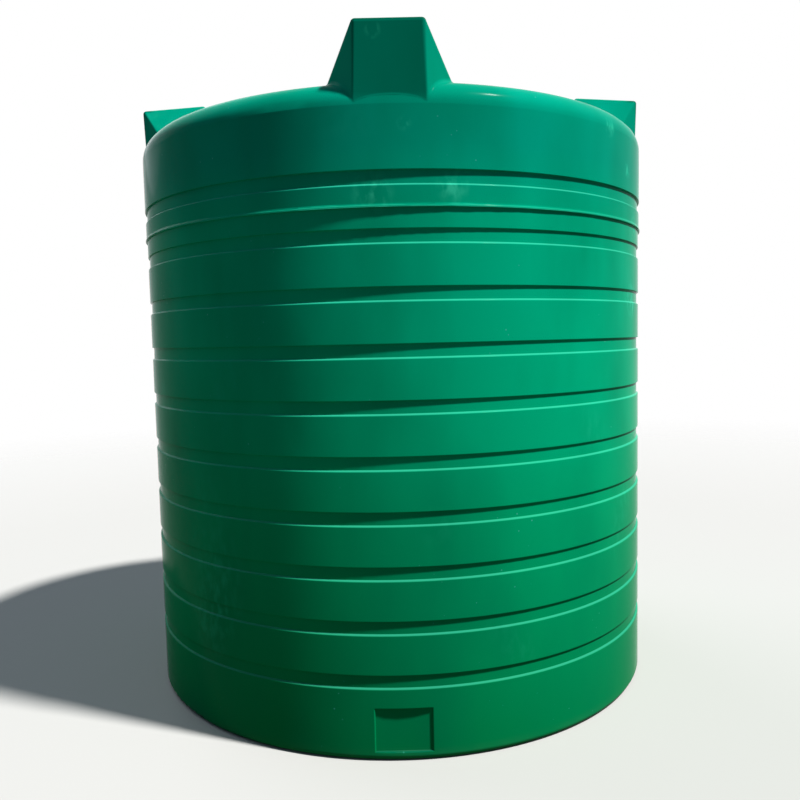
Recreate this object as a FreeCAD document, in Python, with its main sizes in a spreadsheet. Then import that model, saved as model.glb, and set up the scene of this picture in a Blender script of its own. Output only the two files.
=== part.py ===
# Rotationally moulded upright water tank with undercut rib grooves and four moulded lugs.
# Origin: centre of the flat base on the ground, +Z up, the bare outlet pad faces -Y.
# Millimetres throughout.

import FreeCAD
import Part
import math
import os
import re
import Sketcher

# Driving sizes: one plain number each, kept in the sheet under the same word.
SIZES = {
    "tank_radius": 910.0,
    "wall": 7.0,
    "floor_wall": 8.0,
    "floor_rim": 60.0,
    "base_round": 18.0,
    "first_groove": 254.5,
    "rib_pitch": 158.2,
    "groove_height": 37.5,
    "groove_depth": 5.5,
    "groove_chamfer": 4.5,
    "rib_edge": 1.2,
    "band_round": 3.0,
    "joint_height": 56.8,
    "joint_inset": 0.5,
    "upper_out": 2.0,
    "lip_out": 2.5,
    "lip_height": 4.0,
    "lip_flare": 7.0,
    "crown_out": 3.0,
    "crown_height": 174.7,
    "shoulder_round": 75.0,
    "roof_slope": 15.0,
    "neck_radius": 230.0,
    "neck_wall": 8.0,
    "neck_height": 44.0,
    "neck_land": 26.0,
    "neck_bead": 3.0,
    "neck_bead_up": 20.0,
    "lid_gap": 3.0,
    "lid_wall": 6.0,
    "lid_skirt": 36.0,
    "lid_rise": 10.0,
    "lid_slope": 45.0,
    "lid_crown_radius": 150.0,
    "lid_round": 5.0,
    "grip_width": 26.0,
    "grip_tip": 17.0,
    "grip_out": 7.0,
    "lug_out": 4.0,
    "lug_rise": 225.0,
    "lug_width": 197.0,
    "lug_face": 190.0,
    "lug_lean": 0.045,
    "lug_top_rise": 0.075,
    "lug_corner_spread": 0.82,
    "lug_flank_spread": 0.545,
    "lug_ridge": 240.0,
    "lug_back_run": 0.9,
    "lug_wall": 7.0,
    "lug_edge": 11.0,
    "lug_foot_round": 16.0,
    "pad_width": 165.0,
    "pad_foot": 28.0,
    "pad_head": 154.0,
    "pad_depth": 9.0,
    "pad_round": 4.0,
    "outlet_height": 88.0,
    "outlet_bore": 20.0,
    "outlet_pipe": 27.0,
    "outlet_flange": 44.0,
    "outlet_stub": 52.0,
    "overflow_drop": 96.0,
    "overflow_pad": 110.0,
    "overflow_pad_depth": 5.0,
    "overflow_pad_round": 2.5,
    "overflow_bore": 20.0,
    "overflow_pipe": 27.0,
    "overflow_flange": 42.0,
    "overflow_stub": 46.0,
    "flange_wall": 8.0,
    "gasket_wall": 3.0,
    "nut_wall": 15.0,
    "nut_flats": 78.0,
    "hole_gap": 0.5,
    "overcut": 1.0,
}
COURSES = 8
LUGS = {"front": 0.0, "right": 90.0, "back": 180.0, "left": 270.0}
GRIPS = 12
TOLERANCE = 0.001

# Worked-out sizes, each from the driving ones.
DERIVED = {
    "inside_radius": "tank_radius - wall",
    "groove_radius": "tank_radius - groove_depth",
    "groove_inside": "groove_radius - wall",
    "chamfer_shift": "wall * tan(atan(groove_depth / groove_chamfer) / 2)",
    "joint_foot": "first_groove + %d * rib_pitch" % COURSES,
    "joint_radius": "tank_radius - joint_inset",
    "lip_foot": "joint_foot + joint_height",
    "upper_radius": "tank_radius + upper_out",
    "upper_inside": "upper_radius - groove_depth - wall",
    "lip_radius": "upper_radius + lip_out",
    "lip_curve": "(lip_out ^ 2 + lip_flare ^ 2) / (2 * lip_out)",
    "crown_foot": "joint_foot + rib_pitch",
    "crown_radius": "tank_radius + crown_out",
    "shoulder_foot": "crown_foot + crown_height",
    "shoulder_radius": "crown_radius - shoulder_round * (1 - sin(roof_slope))",
    "shoulder_top": "shoulder_foot + shoulder_round * cos(roof_slope)",
    "roof_ball": "shoulder_radius / sin(roof_slope)",
    "roof_centre": "shoulder_top - roof_ball * cos(roof_slope)",
    "land_radius": "neck_radius + neck_land",
    "land_top": "roof_centre + sqrt(roof_ball ^ 2 - land_radius ^ 2)",
    "land_under": "roof_centre + sqrt((roof_ball - wall) ^ 2 - land_radius ^ 2)",
    "neck_inside": "neck_radius - neck_wall",
    "neck_top": "land_top + neck_height",
    "lid_inside": "neck_radius + neck_bead + lid_gap",
    "lid_radius": "lid_inside + lid_wall",
    "lid_foot": "neck_top - lid_skirt",
    "lid_plate": "neck_top + lid_wall",
    "lid_run": "lid_rise / tan(lid_slope)",
    "lid_shift": "lid_wall * tan(lid_slope / 2)",
    "lug_reach": "crown_radius + lug_out",
    "lug_top": "shoulder_foot + lug_rise",
    "lug_foot": "shoulder_foot - shoulder_round",
    "lug_drop": "lug_top - lug_foot",
    "lug_ridge_rise": "lug_top_rise * lug_ridge",
    "pad_face": "tank_radius - pad_depth",
    "pad_back": "pad_face - wall",
    "overflow_face": "crown_radius - overflow_pad_depth",
    "overflow_back": "overflow_face - wall",
    "overflow_height": "shoulder_foot - overflow_drop",
}

doc = FreeCAD.newDocument("water_tank")
sheet = doc.addObject("Spreadsheet::Sheet", "sizes")
for row, (word, number) in enumerate(SIZES.items(), start=1):
    sheet.set("A%d" % row, word)
    sheet.set("B%d" % row, str(number))
    sheet.setAlias("B%d" % row, word)
doc.recompute()


def formula(text):
    """Expression of the sheet's cells that a text in the words above stands for."""
    def cell(match):
        word = match.group()
        if word in DERIVED:
            return "(%s)" % formula(DERIVED[word])
        return "sizes." + word if word in SIZES else word
    return re.sub(r"[a-z_][a-z0-9_]*", cell, str(text))


def value(text):
    """Number that a text in the words above stands for now."""
    return float(sheet.evalExpression(formula(text)))


def bind(item, target, text):
    """Tie one property or constraint of an object to the sheet."""
    item.setExpression(target, formula(text))


def new_sketch(body, name, role="XZ_Plane"):
    """Empty sketch on one of the body's own origin planes."""
    sketch = body.newObject("Sketcher::SketchObject", name)
    plane = [item for item in body.Origin.OriginFeatures if item.Role == role][0]
    sketch.AttachmentSupport = [(plane, "")]
    sketch.MapMode = "FlatFace"
    return sketch


def hold_point(sketch, edge, end, across, up):
    """Hold one end of a sketch edge at a place given by two texts."""
    for kind, axis, text in (("DistanceX", -2, across), ("DistanceY", -1, up)):
        number = value(text)
        if abs(number) < TOLERANCE:
            sketch.addConstraint(Sketcher.Constraint("PointOnObject", edge, end, axis))
        elif number > 0:
            index = sketch.addConstraint(Sketcher.Constraint(kind, -1, 1, edge, end, number))
            bind(sketch, "Constraints[%d]" % index, text)
        else:
            index = sketch.addConstraint(Sketcher.Constraint(kind, edge, end, -1, 1, -number))
            bind(sketch, "Constraints[%d]" % index, "-(%s)" % text)


def arc_between(start, end, radius, side):
    """Arc of a given radius, always stored anticlockwise; side is 1 with its centre on the left."""
    chord = end - start
    normal = FreeCAD.Vector(-chord.y, chord.x, 0).normalize() * side
    centre = (start + end) * 0.5 + normal * math.sqrt(radius ** 2 - (chord.Length / 2) ** 2)
    first, last = (start, end) if side > 0 else (end, start)
    low, high = [math.atan2(place.y - centre.y, place.x - centre.x) for place in (first, last)]
    if high < low:
        high += 2 * math.pi
    return Part.ArcOfCircle(Part.Circle(centre, FreeCAD.Vector(0, 0, 1), radius), low, high)


def draw_outline(sketch, points, arcs=None):
    """Closed outline through points; arcs gives a radius and a centre side for some of its edges."""
    arcs = arcs or {}
    places = [FreeCAD.Vector(value(across), value(up), 0) for across, up in points]
    count = len(places)
    ends = []
    for index, start in enumerate(places):
        end = places[(index + 1) % count]
        if index in arcs:
            radius, side = arcs[index]
            sketch.addGeometry(arc_between(start, end, value(radius), side), False)
            ends.append((1, 2) if side > 0 else (2, 1))
        else:
            sketch.addGeometry(Part.LineSegment(start, end), False)
            ends.append((1, 2))
    for index in range(count):
        after = (index + 1) % count
        sketch.addConstraint(Sketcher.Constraint(
            "Coincident", index, ends[index][1], after, ends[after][0]))
    for index, (across, up) in enumerate(points):
        hold_point(sketch, index, ends[index][0], across, up)
    for index, (radius, side) in arcs.items():
        mark = sketch.addConstraint(Sketcher.Constraint("Radius", index, value(radius)))
        bind(sketch, "Constraints[%d]" % mark, radius)


def circle_edges(shape, radius, height):
    """Names of the edges that run round the tank axis at one radius and height."""
    names = []
    for number, edge in enumerate(shape.Edges, start=1):
        curve = edge.Curve
        if not isinstance(curve, Part.Circle):
            continue
        if abs(curve.Radius - radius) < TOLERANCE and abs(curve.Center.z - height) < TOLERANCE:
            names.append("Edge%d" % number)
    return names


def revolved(name, points, arcs=None, rounds=()):
    """Body turned about the tank axis; rounds lists radius, height and edge radius texts."""
    body = doc.addObject("PartDesign::Body", name)
    sketch = new_sketch(body, name + "_outline")
    draw_outline(sketch, points, arcs)
    turn = body.newObject("PartDesign::Revolution", name + "_turn")
    turn.Profile = sketch
    turn.ReferenceAxis = (sketch, ["V_Axis"])
    turn.Angle = 360.0
    doc.recompute()
    last = turn
    for step, (radius, height, size) in enumerate(rounds):
        edges = circle_edges(last.Shape, value(radius), value(height))
        fillet = body.newObject("PartDesign::Fillet", "%s_round_%d" % (name, step))
        fillet.Base = (last, edges)
        bind(fillet, "Radius", size)
        body.Tip = fillet
        doc.recompute()
        last = fillet
    return body


def box(name, low, high):
    """Box between two corners given as texts."""
    item = doc.addObject("Part::Box", name)
    for size, place, start, end in zip(("Length", "Width", "Height"), "xyz", low, high):
        bind(item, size, "(%s) - (%s)" % (end, start))
        bind(item, "Placement.Base." + place, start)
    return item


def round_bar(name, radius, start, length, height):
    """Cylinder along +Y at one height over the axis plane, from a start distance."""
    item = doc.addObject("Part::Cylinder", name)
    item.Placement.Rotation = FreeCAD.Rotation(FreeCAD.Vector(1, 0, 0), -90)
    bind(item, "Radius", radius)
    bind(item, "Height", length)
    bind(item, "Placement.Base.y", start)
    bind(item, "Placement.Base.z", height)
    return item


def boolean(kind, name, base, tool):
    """Cut, fuse or intersect two objects of the document."""
    item = doc.addObject("Part::" + kind, name)
    item.Base = base
    item.Tool = tool
    return item


def course_points(foot, head, band="tank_radius"):
    """Outline of one rib course: sharp bottom corner, straight band, chamfer and groove wall."""
    inside = "%s - wall" % band
    groove = "%s - groove_depth" % band
    chamfer_head = "%s - groove_height" % head
    chamfer_foot = "%s - groove_height - groove_chamfer" % head
    return [
        (band, foot),
        (band, chamfer_foot),
        (groove, chamfer_head),
        (groove, head),
        (groove + " - wall", head),
        (groove + " - wall", chamfer_head + " - chamfer_shift"),
        (inside, chamfer_foot + " - chamfer_shift"),
        (inside, "%s + wall" % foot),
        ("groove_inside", "%s + wall" % foot),
        ("groove_inside", foot),
    ]


def rib_rounds(foot, head):
    """Small rounding at a course's bottom corner and at the top of its band."""
    return [
        ("tank_radius", foot, "rib_edge"),
        ("tank_radius", "%s - groove_height - groove_chamfer" % head, "band_round"),
    ]


def wall_course(number):
    """One of the like courses between two grooves."""
    foot = "first_groove + %d * rib_pitch" % (number - 1)
    head = "first_groove + %d * rib_pitch" % number
    return revolved("wall_course_%d" % number, course_points(foot, head), rounds=rib_rounds(foot, head))


def meeting_edges(joined, first, second):
    """Numbers of the edges of a fused shape that lie on the skins of both its parts."""
    numbers = []
    for number, edge in enumerate(joined.Edges, start=1):
        middle = Part.Vertex(edge.valueAt((edge.FirstParameter + edge.LastParameter) / 2))
        if all(skin.distToShape(middle)[0] < TOLERANCE for skin in (first.Shells[0], second.Shells[0])):
            numbers.append(number)
    return numbers


def flat_pad(ring, name, skin, face, width, low, high, edge, turn):
    """Sunk flat land on the -Y or the +Y side: the wall stays whole behind it, its rim is rounded."""
    half = "(%s / 2)" % width
    out = "(%s + overcut)" % skin
    back = "(%s - wall)" % face
    if turn:
        cut, kept = (face, out), (back, skin)
    else:
        cut, kept = ("-" + out, "-(%s)" % face), ("-(%s)" % skin, "-" + back)
    recess = box(name + "_recess", ("-" + half, cut[0], low), (half, cut[1], high))
    behind = box(name + "_behind",
                 ("-(%s + wall)" % half, kept[0], "%s - wall" % low),
                 ("%s + wall" % half, kept[1], "%s + wall" % high))
    core = doc.addObject("Part::Cylinder", name + "_core")
    bind(core, "Radius", "%s - wall / 2" % skin)
    bind(core, "Height", "%s - (%s) + wall * 2" % (high, low))
    bind(core, "Placement.Base.z", "%s - wall" % low)
    backing = boolean("Common", name + "_backing", behind, core)
    thick = boolean("Fuse", name + "_thick", ring, backing)
    flat = boolean("Cut", name + "_flat", thick, recess)
    doc.recompute()
    land = doc.addObject("Part::Fillet", name + "_land")
    land.Base = flat
    size = value(edge)
    land.Edges = [(number, size, size)
                  for number in meeting_edges(flat.Shape, ring.Shape, recess.Shape)]
    doc.recompute()
    return land


def base_course():
    """Lowest band with the rounded foot, the inturned rim and a flat outlet land front and back."""
    head = "first_groove"
    points = course_points("0", head)[:7] + [
        ("inside_radius", "floor_wall"),
        ("tank_radius - floor_rim", "floor_wall"),
        ("tank_radius - floor_rim", "0"),
    ]
    ring = revolved("base_ring", points, rounds=[
        ("tank_radius", "0", "base_round"),
        ("inside_radius", "floor_wall", "base_round - wall"),
        ("tank_radius", "first_groove - groove_height - groove_chamfer", "band_round"),
    ])
    front = flat_pad(ring, "outlet_pad_front", "tank_radius", "pad_face",
                     "pad_width", "pad_foot", "pad_head", "pad_round", False)
    back = flat_pad(front, "outlet_pad_back", "tank_radius", "pad_face",
                    "pad_width", "pad_foot", "pad_head", "pad_round", True)
    hole = round_bar("outlet_hole", "outlet_pipe + hole_gap", "pad_back - overcut",
                     "wall + overcut * 2", "outlet_height")
    return boolean("Cut", "base_course", back, hole)


def base_floor():
    """Flat floor disc inside the base course's rim."""
    disc = doc.addObject("Part::Cylinder", "base_floor")
    bind(disc, "Radius", "tank_radius - floor_rim")
    bind(disc, "Height", "floor_wall")
    return disc


def joint_course():
    """Plain set-back band below the drip lip, where the two halves of the mould meet."""
    return revolved("joint_course", [
        ("joint_radius", "joint_foot"),
        ("joint_radius", "lip_foot"),
        ("joint_radius - wall", "lip_foot"),
        ("joint_radius - wall", "joint_foot + wall"),
        ("groove_inside", "joint_foot + wall"),
        ("groove_inside", "joint_foot"),
    ], rounds=[("joint_radius", "joint_foot", "rib_edge")])


def lip_course():
    """Band with the drip lip at its foot and the last groove at its head."""
    points = course_points("lip_foot", "crown_foot", "upper_radius")
    points[0:1] = [
        ("lip_radius", "lip_foot"),
        ("lip_radius", "lip_foot + lip_height"),
        ("upper_radius", "lip_foot + lip_height + lip_flare"),
    ]
    points[-2:] = [
        ("joint_radius - wall", "lip_foot + wall"),
        ("joint_radius - wall", "lip_foot"),
    ]
    return revolved("lip_course", points, arcs={1: ("lip_curve", -1)}, rounds=[
        ("lip_radius", "lip_foot", "rib_edge"),
        ("lip_radius", "lip_foot + lip_height", "band_round"),
        ("upper_radius", "crown_foot - groove_height - groove_chamfer", "band_round"),
    ])


def crown_course():
    """Tall top band that turns over into the rounded shoulder, with the overflow's land."""
    shoulder = revolved("crown_ring", [
        ("crown_radius", "crown_foot"),
        ("crown_radius", "shoulder_foot"),
        ("shoulder_radius", "shoulder_top"),
        ("shoulder_radius - wall * sin(roof_slope)", "shoulder_top - wall * cos(roof_slope)"),
        ("crown_radius - wall", "shoulder_foot"),
        ("crown_radius - wall", "crown_foot + wall"),
        ("upper_inside", "crown_foot + wall"),
        ("upper_inside", "crown_foot"),
    ], arcs={1: ("shoulder_round", 1), 3: ("shoulder_round - wall", -1)},
        rounds=[("crown_radius", "crown_foot", "rib_edge")])
    land = flat_pad(shoulder, "overflow_pad", "crown_radius", "overflow_face", "overflow_pad",
                    "overflow_height - overflow_pad / 2", "overflow_height + overflow_pad / 2",
                    "overflow_pad_round", True)
    hole = round_bar("overflow_hole", "overflow_pipe + hole_gap", "overflow_back - overcut",
                     "wall + overcut * 2", "overflow_height")
    return boolean("Cut", "crown_course", land, hole)


def roof():
    """Shallow domed roof from the shoulder to the flat land round the manhole."""
    return revolved("roof", [
        ("shoulder_radius", "shoulder_top"),
        ("land_radius", "land_top"),
        ("neck_inside", "land_top"),
        ("neck_inside", "land_under"),
        ("land_radius", "land_under"),
        ("shoulder_radius - wall * sin(roof_slope)", "shoulder_top - wall * cos(roof_slope)"),
    ], arcs={0: ("roof_ball", 1), 4: ("roof_ball - wall", -1)})


def tank_envelope():
    """Solid of the tank's outer form from the crown upward, to trim the lugs with."""
    return revolved("envelope", [
        ("0", "crown_foot"),
        ("crown_radius", "crown_foot"),
        ("crown_radius", "shoulder_foot"),
        ("shoulder_radius", "shoulder_top"),
        ("land_radius", "land_top"),
        ("0", "land_top"),
    ], arcs={2: ("shoulder_round", 1), 3: ("roof_ball", 1)})


def lug_head(start, slope, top):
    """Point where an end face meets the lug's top, which starts at top and rises inward."""
    up = "(%s + lug_top_rise * (lug_reach - (%s)) + lug_top_rise * %s * lug_top)" % (top, start, slope)
    height = "%s / (1 + lug_top_rise * %s)" % (up, slope)
    return "%s - %s * (lug_top - %s)" % (start, slope, height), height


def lug_form(name, inset):
    """Lug form along -Y: leaning end face, splayed corners, sloped flanks and inner end."""
    body = doc.addObject("PartDesign::Body", name)
    # An inset face moves square to itself, by more along the level the steeper it slopes.
    front = "(lug_reach - %s * sqrt(1 + lug_lean ^ 2))" % inset
    back = "(lug_reach - lug_ridge + %s * sqrt(1 + lug_back_run ^ 2))" % inset
    top = "(lug_top - %s * sqrt(1 + lug_top_rise ^ 2))" % inset
    flank = "(lug_width / 2 - %s * sqrt(1 + lug_flank_spread ^ 2))" % inset
    corner = "(lug_face / 2 - %s * sqrt(1 + lug_corner_spread ^ 2))" % inset

    side = new_sketch(body, name + "_side", "YZ_Plane")
    heads = [lug_head(front, "lug_lean", top), lug_head(back, "lug_back_run", top)]
    draw_outline(side, [
        ("-(%s - lug_lean * lug_drop)" % front, "lug_foot"),
        ("-(%s)" % heads[0][0], heads[0][1]),
        ("-(%s)" % heads[1][0], heads[1][1]),
        ("-(%s - lug_back_run * lug_drop)" % back, "lug_foot"),
    ])
    block = body.newObject("PartDesign::Pad", name + "_block")
    block.Profile = side
    bind(block, "Length", "lug_width + 2 * lug_flank_spread * lug_drop")
    block.Midplane = True
    doc.recompute()

    low, high = "lug_foot - overcut", "lug_top + lug_ridge_rise + overcut"
    outside = "(lug_width / 2 + lug_flank_spread * lug_drop + overcut)"
    for sign in ("", "-"):
        cuts = {
            "flank": ("XZ_Plane", [
                ("%s(%s + lug_flank_spread * (lug_top - (%s)))" % (sign, flank, low), low),
                ("%s(%s + lug_flank_spread * (lug_top - (%s)))" % (sign, flank, high), high),
                ("%s(%s + lug_flank_spread * lug_drop)" % (sign, outside), high),
                ("%s(%s + lug_flank_spread * lug_drop)" % (sign, outside), low),
            ]),
            "corner": ("XY_Plane", [
                ("%s(%s - lug_corner_spread * overcut)" % (sign, corner), "-(lug_reach + overcut)"),
                ("%s(%s + lug_corner_spread * lug_drop)" % (sign, corner), "-(lug_reach - lug_drop)"),
                ("%s(%s + lug_corner_spread * lug_drop)" % (sign, outside), "-(lug_reach - lug_drop)"),
                ("%s(%s + lug_corner_spread * lug_drop)" % (sign, outside), "-(lug_reach + overcut)"),
            ]),
        }
        for kind, (role, points) in cuts.items():
            label = "%s_%s_%s" % (name, kind, "left" if sign else "right")
            sketch = new_sketch(body, label, role)
            draw_outline(sketch, points)
            cut = body.newObject("PartDesign::Pocket", label + "_cut")
            cut.Profile = sketch
            cut.Type = "ThroughAll"
            cut.Midplane = True
            doc.recompute()
    return body


def round_lug(body, name):
    """Round every edge of the lug form but those of its flat underside."""
    last = body.Tip
    foot = value("lug_foot")
    edges = []
    for number, edge in enumerate(last.Shape.Edges, start=1):
        if max(vertex.Z for vertex in edge.Vertexes) > foot + TOLERANCE:
            edges.append("Edge%d" % number)
    fillet = body.newObject("PartDesign::Fillet", name + "_edges")
    fillet.Base = (last, edges)
    bind(fillet, "Radius", "lug_edge")
    body.Tip = fillet
    doc.recompute()


def lug(side, angle, envelope):
    """Hollow moulded lug that runs into the tank's skin with a rounded foot."""
    name = "lug_" + side
    outer = lug_form(name + "_form", "0")
    round_lug(outer, name)
    joined = boolean("Fuse", name + "_on_tank", outer, envelope)
    doc.recompute()
    flowing = doc.addObject("Part::Fillet", name + "_foot")
    flowing.Base = joined
    size = value("lug_foot_round")
    flowing.Edges = [(number, size, size)
                     for number in meeting_edges(joined.Shape, outer.Shape, envelope.Shape)]
    doc.recompute()
    standing = boolean("Cut", name + "_standing", flowing, envelope)
    item = boolean("Cut", name, standing, lug_form(name + "_hollow", "lug_wall"))
    item.Placement.Rotation = FreeCAD.Rotation(FreeCAD.Vector(0, 0, 1), angle)
    return item


def manhole_neck():
    """Upright collar round the manhole with one bead that the lid's skirt screws over."""
    bead_low = "land_top + neck_bead_up"
    return revolved("manhole_neck", [
        ("neck_inside", "land_top"),
        ("neck_radius", "land_top"),
        ("neck_radius", bead_low),
        ("neck_radius + neck_bead", bead_low + " + neck_bead"),
        ("neck_radius + neck_bead", bead_low + " + neck_bead * 2"),
        ("neck_radius", bead_low + " + neck_bead * 3"),
        ("neck_radius", "neck_top"),
        ("neck_inside", "neck_top"),
    ])


def manhole_lid():
    """Screw lid: skirt, flat rim, raised middle and grips round the skirt."""
    body = revolved("manhole_lid", [
        ("0", "neck_top + lid_rise"),
        ("0", "lid_plate + lid_rise"),
        ("lid_crown_radius", "lid_plate + lid_rise"),
        ("lid_crown_radius + lid_run", "lid_plate"),
        ("lid_radius", "lid_plate"),
        ("lid_radius", "lid_foot"),
        ("lid_inside", "lid_foot"),
        ("lid_inside", "neck_top"),
        ("lid_crown_radius + lid_run - lid_shift", "neck_top"),
        ("lid_crown_radius - lid_shift", "neck_top + lid_rise"),
    ], rounds=[("lid_radius", "lid_plate", "lid_round")])
    plan = new_sketch(body, "grip_plan", "XY_Plane")
    draw_outline(plan, [
        ("-grip_width / 2", "lid_inside + lid_wall / 2"),
        ("grip_width / 2", "lid_inside + lid_wall / 2"),
        ("grip_tip / 2", "lid_radius + grip_out"),
        ("-grip_tip / 2", "lid_radius + grip_out"),
    ])
    bind(plan, "AttachmentOffset.Base.z", "lid_foot")
    grip = body.newObject("PartDesign::Pad", "grip")
    grip.Profile = plan
    bind(grip, "Length", "lid_plate - lid_foot - lid_round")
    doc.recompute()
    pattern = body.newObject("PartDesign::PolarPattern", "grips")
    pattern.Originals = [grip]
    pattern.Axis = (plan, ["N_Axis"])
    pattern.Angle = 360.0
    pattern.Occurrences = GRIPS
    body.Tip = pattern
    return body


def hexagon(name, flats, start, length, height):
    """Six-sided prism along +Y."""
    item = doc.addObject("Part::Prism", name)
    item.Polygon = 6
    item.Placement.Rotation = FreeCAD.Rotation(FreeCAD.Vector(1, 0, 0), -90)
    bind(item, "Circumradius", "(%s) / 2 / cos(30)" % flats)
    bind(item, "Height", length)
    bind(item, "Placement.Base.y", start)
    bind(item, "Placement.Base.z", height)
    return item


def tank_fitting(name, height, face, back):
    """Through-wall fitting on the +Y side: flanged pipe from inside, rubber gasket and outer nut."""
    pipe, bore = name + "_pipe", name + "_bore"
    flange, stub = name + "_flange", name + "_stub"
    inner_end = "%s - gasket_wall - flange_wall" % back
    outer_end = "%s + %s" % (face, stub)
    plate = round_bar(name + "_plate", flange, inner_end, "flange_wall", height)
    tube = round_bar(name + "_tube", pipe, inner_end, "%s - (%s)" % (outer_end, inner_end), height)
    through = round_bar(name + "_through", bore, inner_end + " - overcut",
                        "%s - (%s) + overcut * 2" % (outer_end, inner_end), height)
    fitting = boolean("Cut", name + "_fitting",
                      boolean("Fuse", name + "_flanged_tube", plate, tube), through)
    ring = round_bar(name + "_ring", flange, "%s - gasket_wall" % back, "gasket_wall", height)
    ring_hole = round_bar(name + "_ring_hole", pipe, "%s - gasket_wall - overcut" % back,
                          "gasket_wall + overcut * 2", height)
    gasket = boolean("Cut", name + "_gasket", ring, ring_hole)
    hexagonal = hexagon(name + "_hexagon", "nut_flats", face, "nut_wall", height)
    nut_hole = round_bar(name + "_nut_hole", pipe, "%s - overcut" % face,
                         "nut_wall + overcut * 2", height)
    nut = boolean("Cut", name + "_nut", hexagonal, nut_hole)
    return [fitting, gasket, nut]


envelope = tank_envelope()
nodes = [base_floor(), base_course()]
nodes += [wall_course(number) for number in range(1, COURSES + 1)]
nodes += [joint_course(), lip_course(), crown_course(), roof()]
nodes += [lug(side, angle, envelope) for side, angle in LUGS.items()]
nodes += [manhole_neck(), manhole_lid()]
nodes += tank_fitting("outlet", "outlet_height", "pad_face", "pad_back")
nodes += tank_fitting("overflow", "overflow_height", "overflow_face", "overflow_back")
doc.recompute()

for item in doc.Objects:
    if "Invalid" in item.State or "Error" in item.State:
        raise RuntimeError("%s failed: %s" % (item.Name, item.State))
for node in nodes:
    if node.Shape.isNull() or not node.Shape.isValid() or not node.Shape.Solids:
        raise RuntimeError("%s has no valid solid" % node.Label)

os.makedirs("parts", exist_ok=True)
for node in nodes:
    node.Shape.exportStep("parts/%s.step" % node.Label)
    print("%-20s %2d solid %10.1f cm3" % (node.Label, len(node.Shape.Solids), node.Shape.Volume / 1000))
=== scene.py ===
import math

import bpy
from mathutils import Matrix, Vector, noise


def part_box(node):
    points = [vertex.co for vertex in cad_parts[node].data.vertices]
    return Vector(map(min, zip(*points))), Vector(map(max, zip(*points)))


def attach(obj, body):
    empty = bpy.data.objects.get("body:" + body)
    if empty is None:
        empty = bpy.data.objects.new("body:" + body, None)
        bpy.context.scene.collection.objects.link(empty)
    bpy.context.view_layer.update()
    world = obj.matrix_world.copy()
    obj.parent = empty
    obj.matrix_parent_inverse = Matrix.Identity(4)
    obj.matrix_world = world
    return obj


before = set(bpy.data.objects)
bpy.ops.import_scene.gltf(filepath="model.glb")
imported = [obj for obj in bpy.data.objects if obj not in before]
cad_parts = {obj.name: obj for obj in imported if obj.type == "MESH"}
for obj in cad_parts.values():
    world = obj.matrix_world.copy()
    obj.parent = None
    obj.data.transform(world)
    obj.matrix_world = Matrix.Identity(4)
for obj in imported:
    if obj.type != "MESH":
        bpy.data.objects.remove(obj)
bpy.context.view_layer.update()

bl_info = {
    "name": "Moulded water tank",
    "version": (1, 0, 0),
    "blender": (4, 5, 0),
    "location": "3D View > Sidebar > Water tank",
    "description": "Finishes a rotationally moulded water tank and sets up its stage",
    "category": "Object",
}

MM = 0.001
BODY = "root"
FITTINGS = ("outlet", "overflow")
SHELL_NODES = [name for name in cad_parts
               if name.endswith("_course") or name.startswith(("wall_course_", "lug_"))
               or name in ("base_floor", "roof", "manhole_neck")]
# Rubbed spots on the front: turn from the front to the right in degrees, height and size in metres.
SCUFFS = (
    (-3.4, 1.618, 0.055), (10.6, 1.630, 0.045), (48.0, 1.854, 0.030), (56.8, 1.745, 0.026),
    (2.3, 1.799, 0.020), (62.0, 1.560, 0.045), (61.0, 1.330, 0.060), (-2.6, 2.045, 0.022),
)
# Height from which the bands' upper edges carry a painted highlight; the outlet lands lie below it.
BAND_START = 180 * MM
# Heights in metres between which one green turns into the next: painted sky reflection on the upper
# courses and the crown, painted ground bounce at the foot.
UPPER_RISE = (0.7, 1.4)
CROWN_RISE = (1.55, 1.75)
FOOT_FALL = (0.9, 0.0)
# Spacings of the shell's patterns, and the height that splashes reach.
CLOUD_SIZE = 250 * MM
GRIME_SIZE = 60 * MM
HAZE_SIZE = 120 * MM
WEAR_SPACING = 420 * MM
SMEAR_SIZE = 24 * MM
SPECK_SPACING = 34 * MM
DRIFT_SIZE = 200 * MM
SPLASH_HEIGHT = 40 * MM
# The painted shade under the lugs: dirt on the lugs' faces, a painted shadow on the shoulder below
# them.
# Each pair runs from where it is gone to where it is full: the drop from the shoulder's top, half
# the strip's width, the distance from the axis and the drop from a lug's top.
PAINTED_SHADE_AND_STAIN_DROP = (75 * MM, 40 * MM)
LUG_HALF_WIDTH = (104 * MM, 98 * MM)
LUG_FACE = (870 * MM, 890 * MM)
LUG_CREST = (7 * MM, 20 * MM)
# Spacings of the dusty patches and the rubbed ones on the black parts.
BLACK_DUST_SIZE = 50 * MM
BLACK_RUB_SIZE = 20 * MM
POLYETHYLENE_IOR = 1.51
# Far below the 0.5 of a real glossy wall. It is set for the photograph's saturated green in front
# of surroundings that are white all round, whose reflection pales the wall.
SHELL_SPECULAR = 0.004
# Share of the smear's colour in a scuffed spot, and the roughness that dust and scuffs add.
SMEAR_SHARE = 0.65
DULLING = 0.35
# Edges sharper than this stay sharp on the new pieces.
SHARP_ANGLE = math.radians(40)
# Share of the floor's reach from which it fades out.
FADE_START = 0.35
KEY_COLOUR = (1.0, 0.98, 0.95)
RIM_COLOUR = (0.90, 0.95, 1.0)
# Places of the colour sockets on a Mix node, where several sockets share a name.
MIX_FACTOR, MIX_FIRST, MIX_SECOND, MIX_RESULT = 0, 6, 7, 2


def linear(hex_colour):
    """Scene-linear RGBA of an sRGB hex colour such as #00855A."""
    parts = [int(hex_colour[place:place + 2], 16) / 255 for place in (1, 3, 5)]
    curve = [part / 12.92 if part <= 0.04045 else ((part + 0.055) / 1.055) ** 2.4 for part in parts]
    return (*curve, 1.0)


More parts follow.
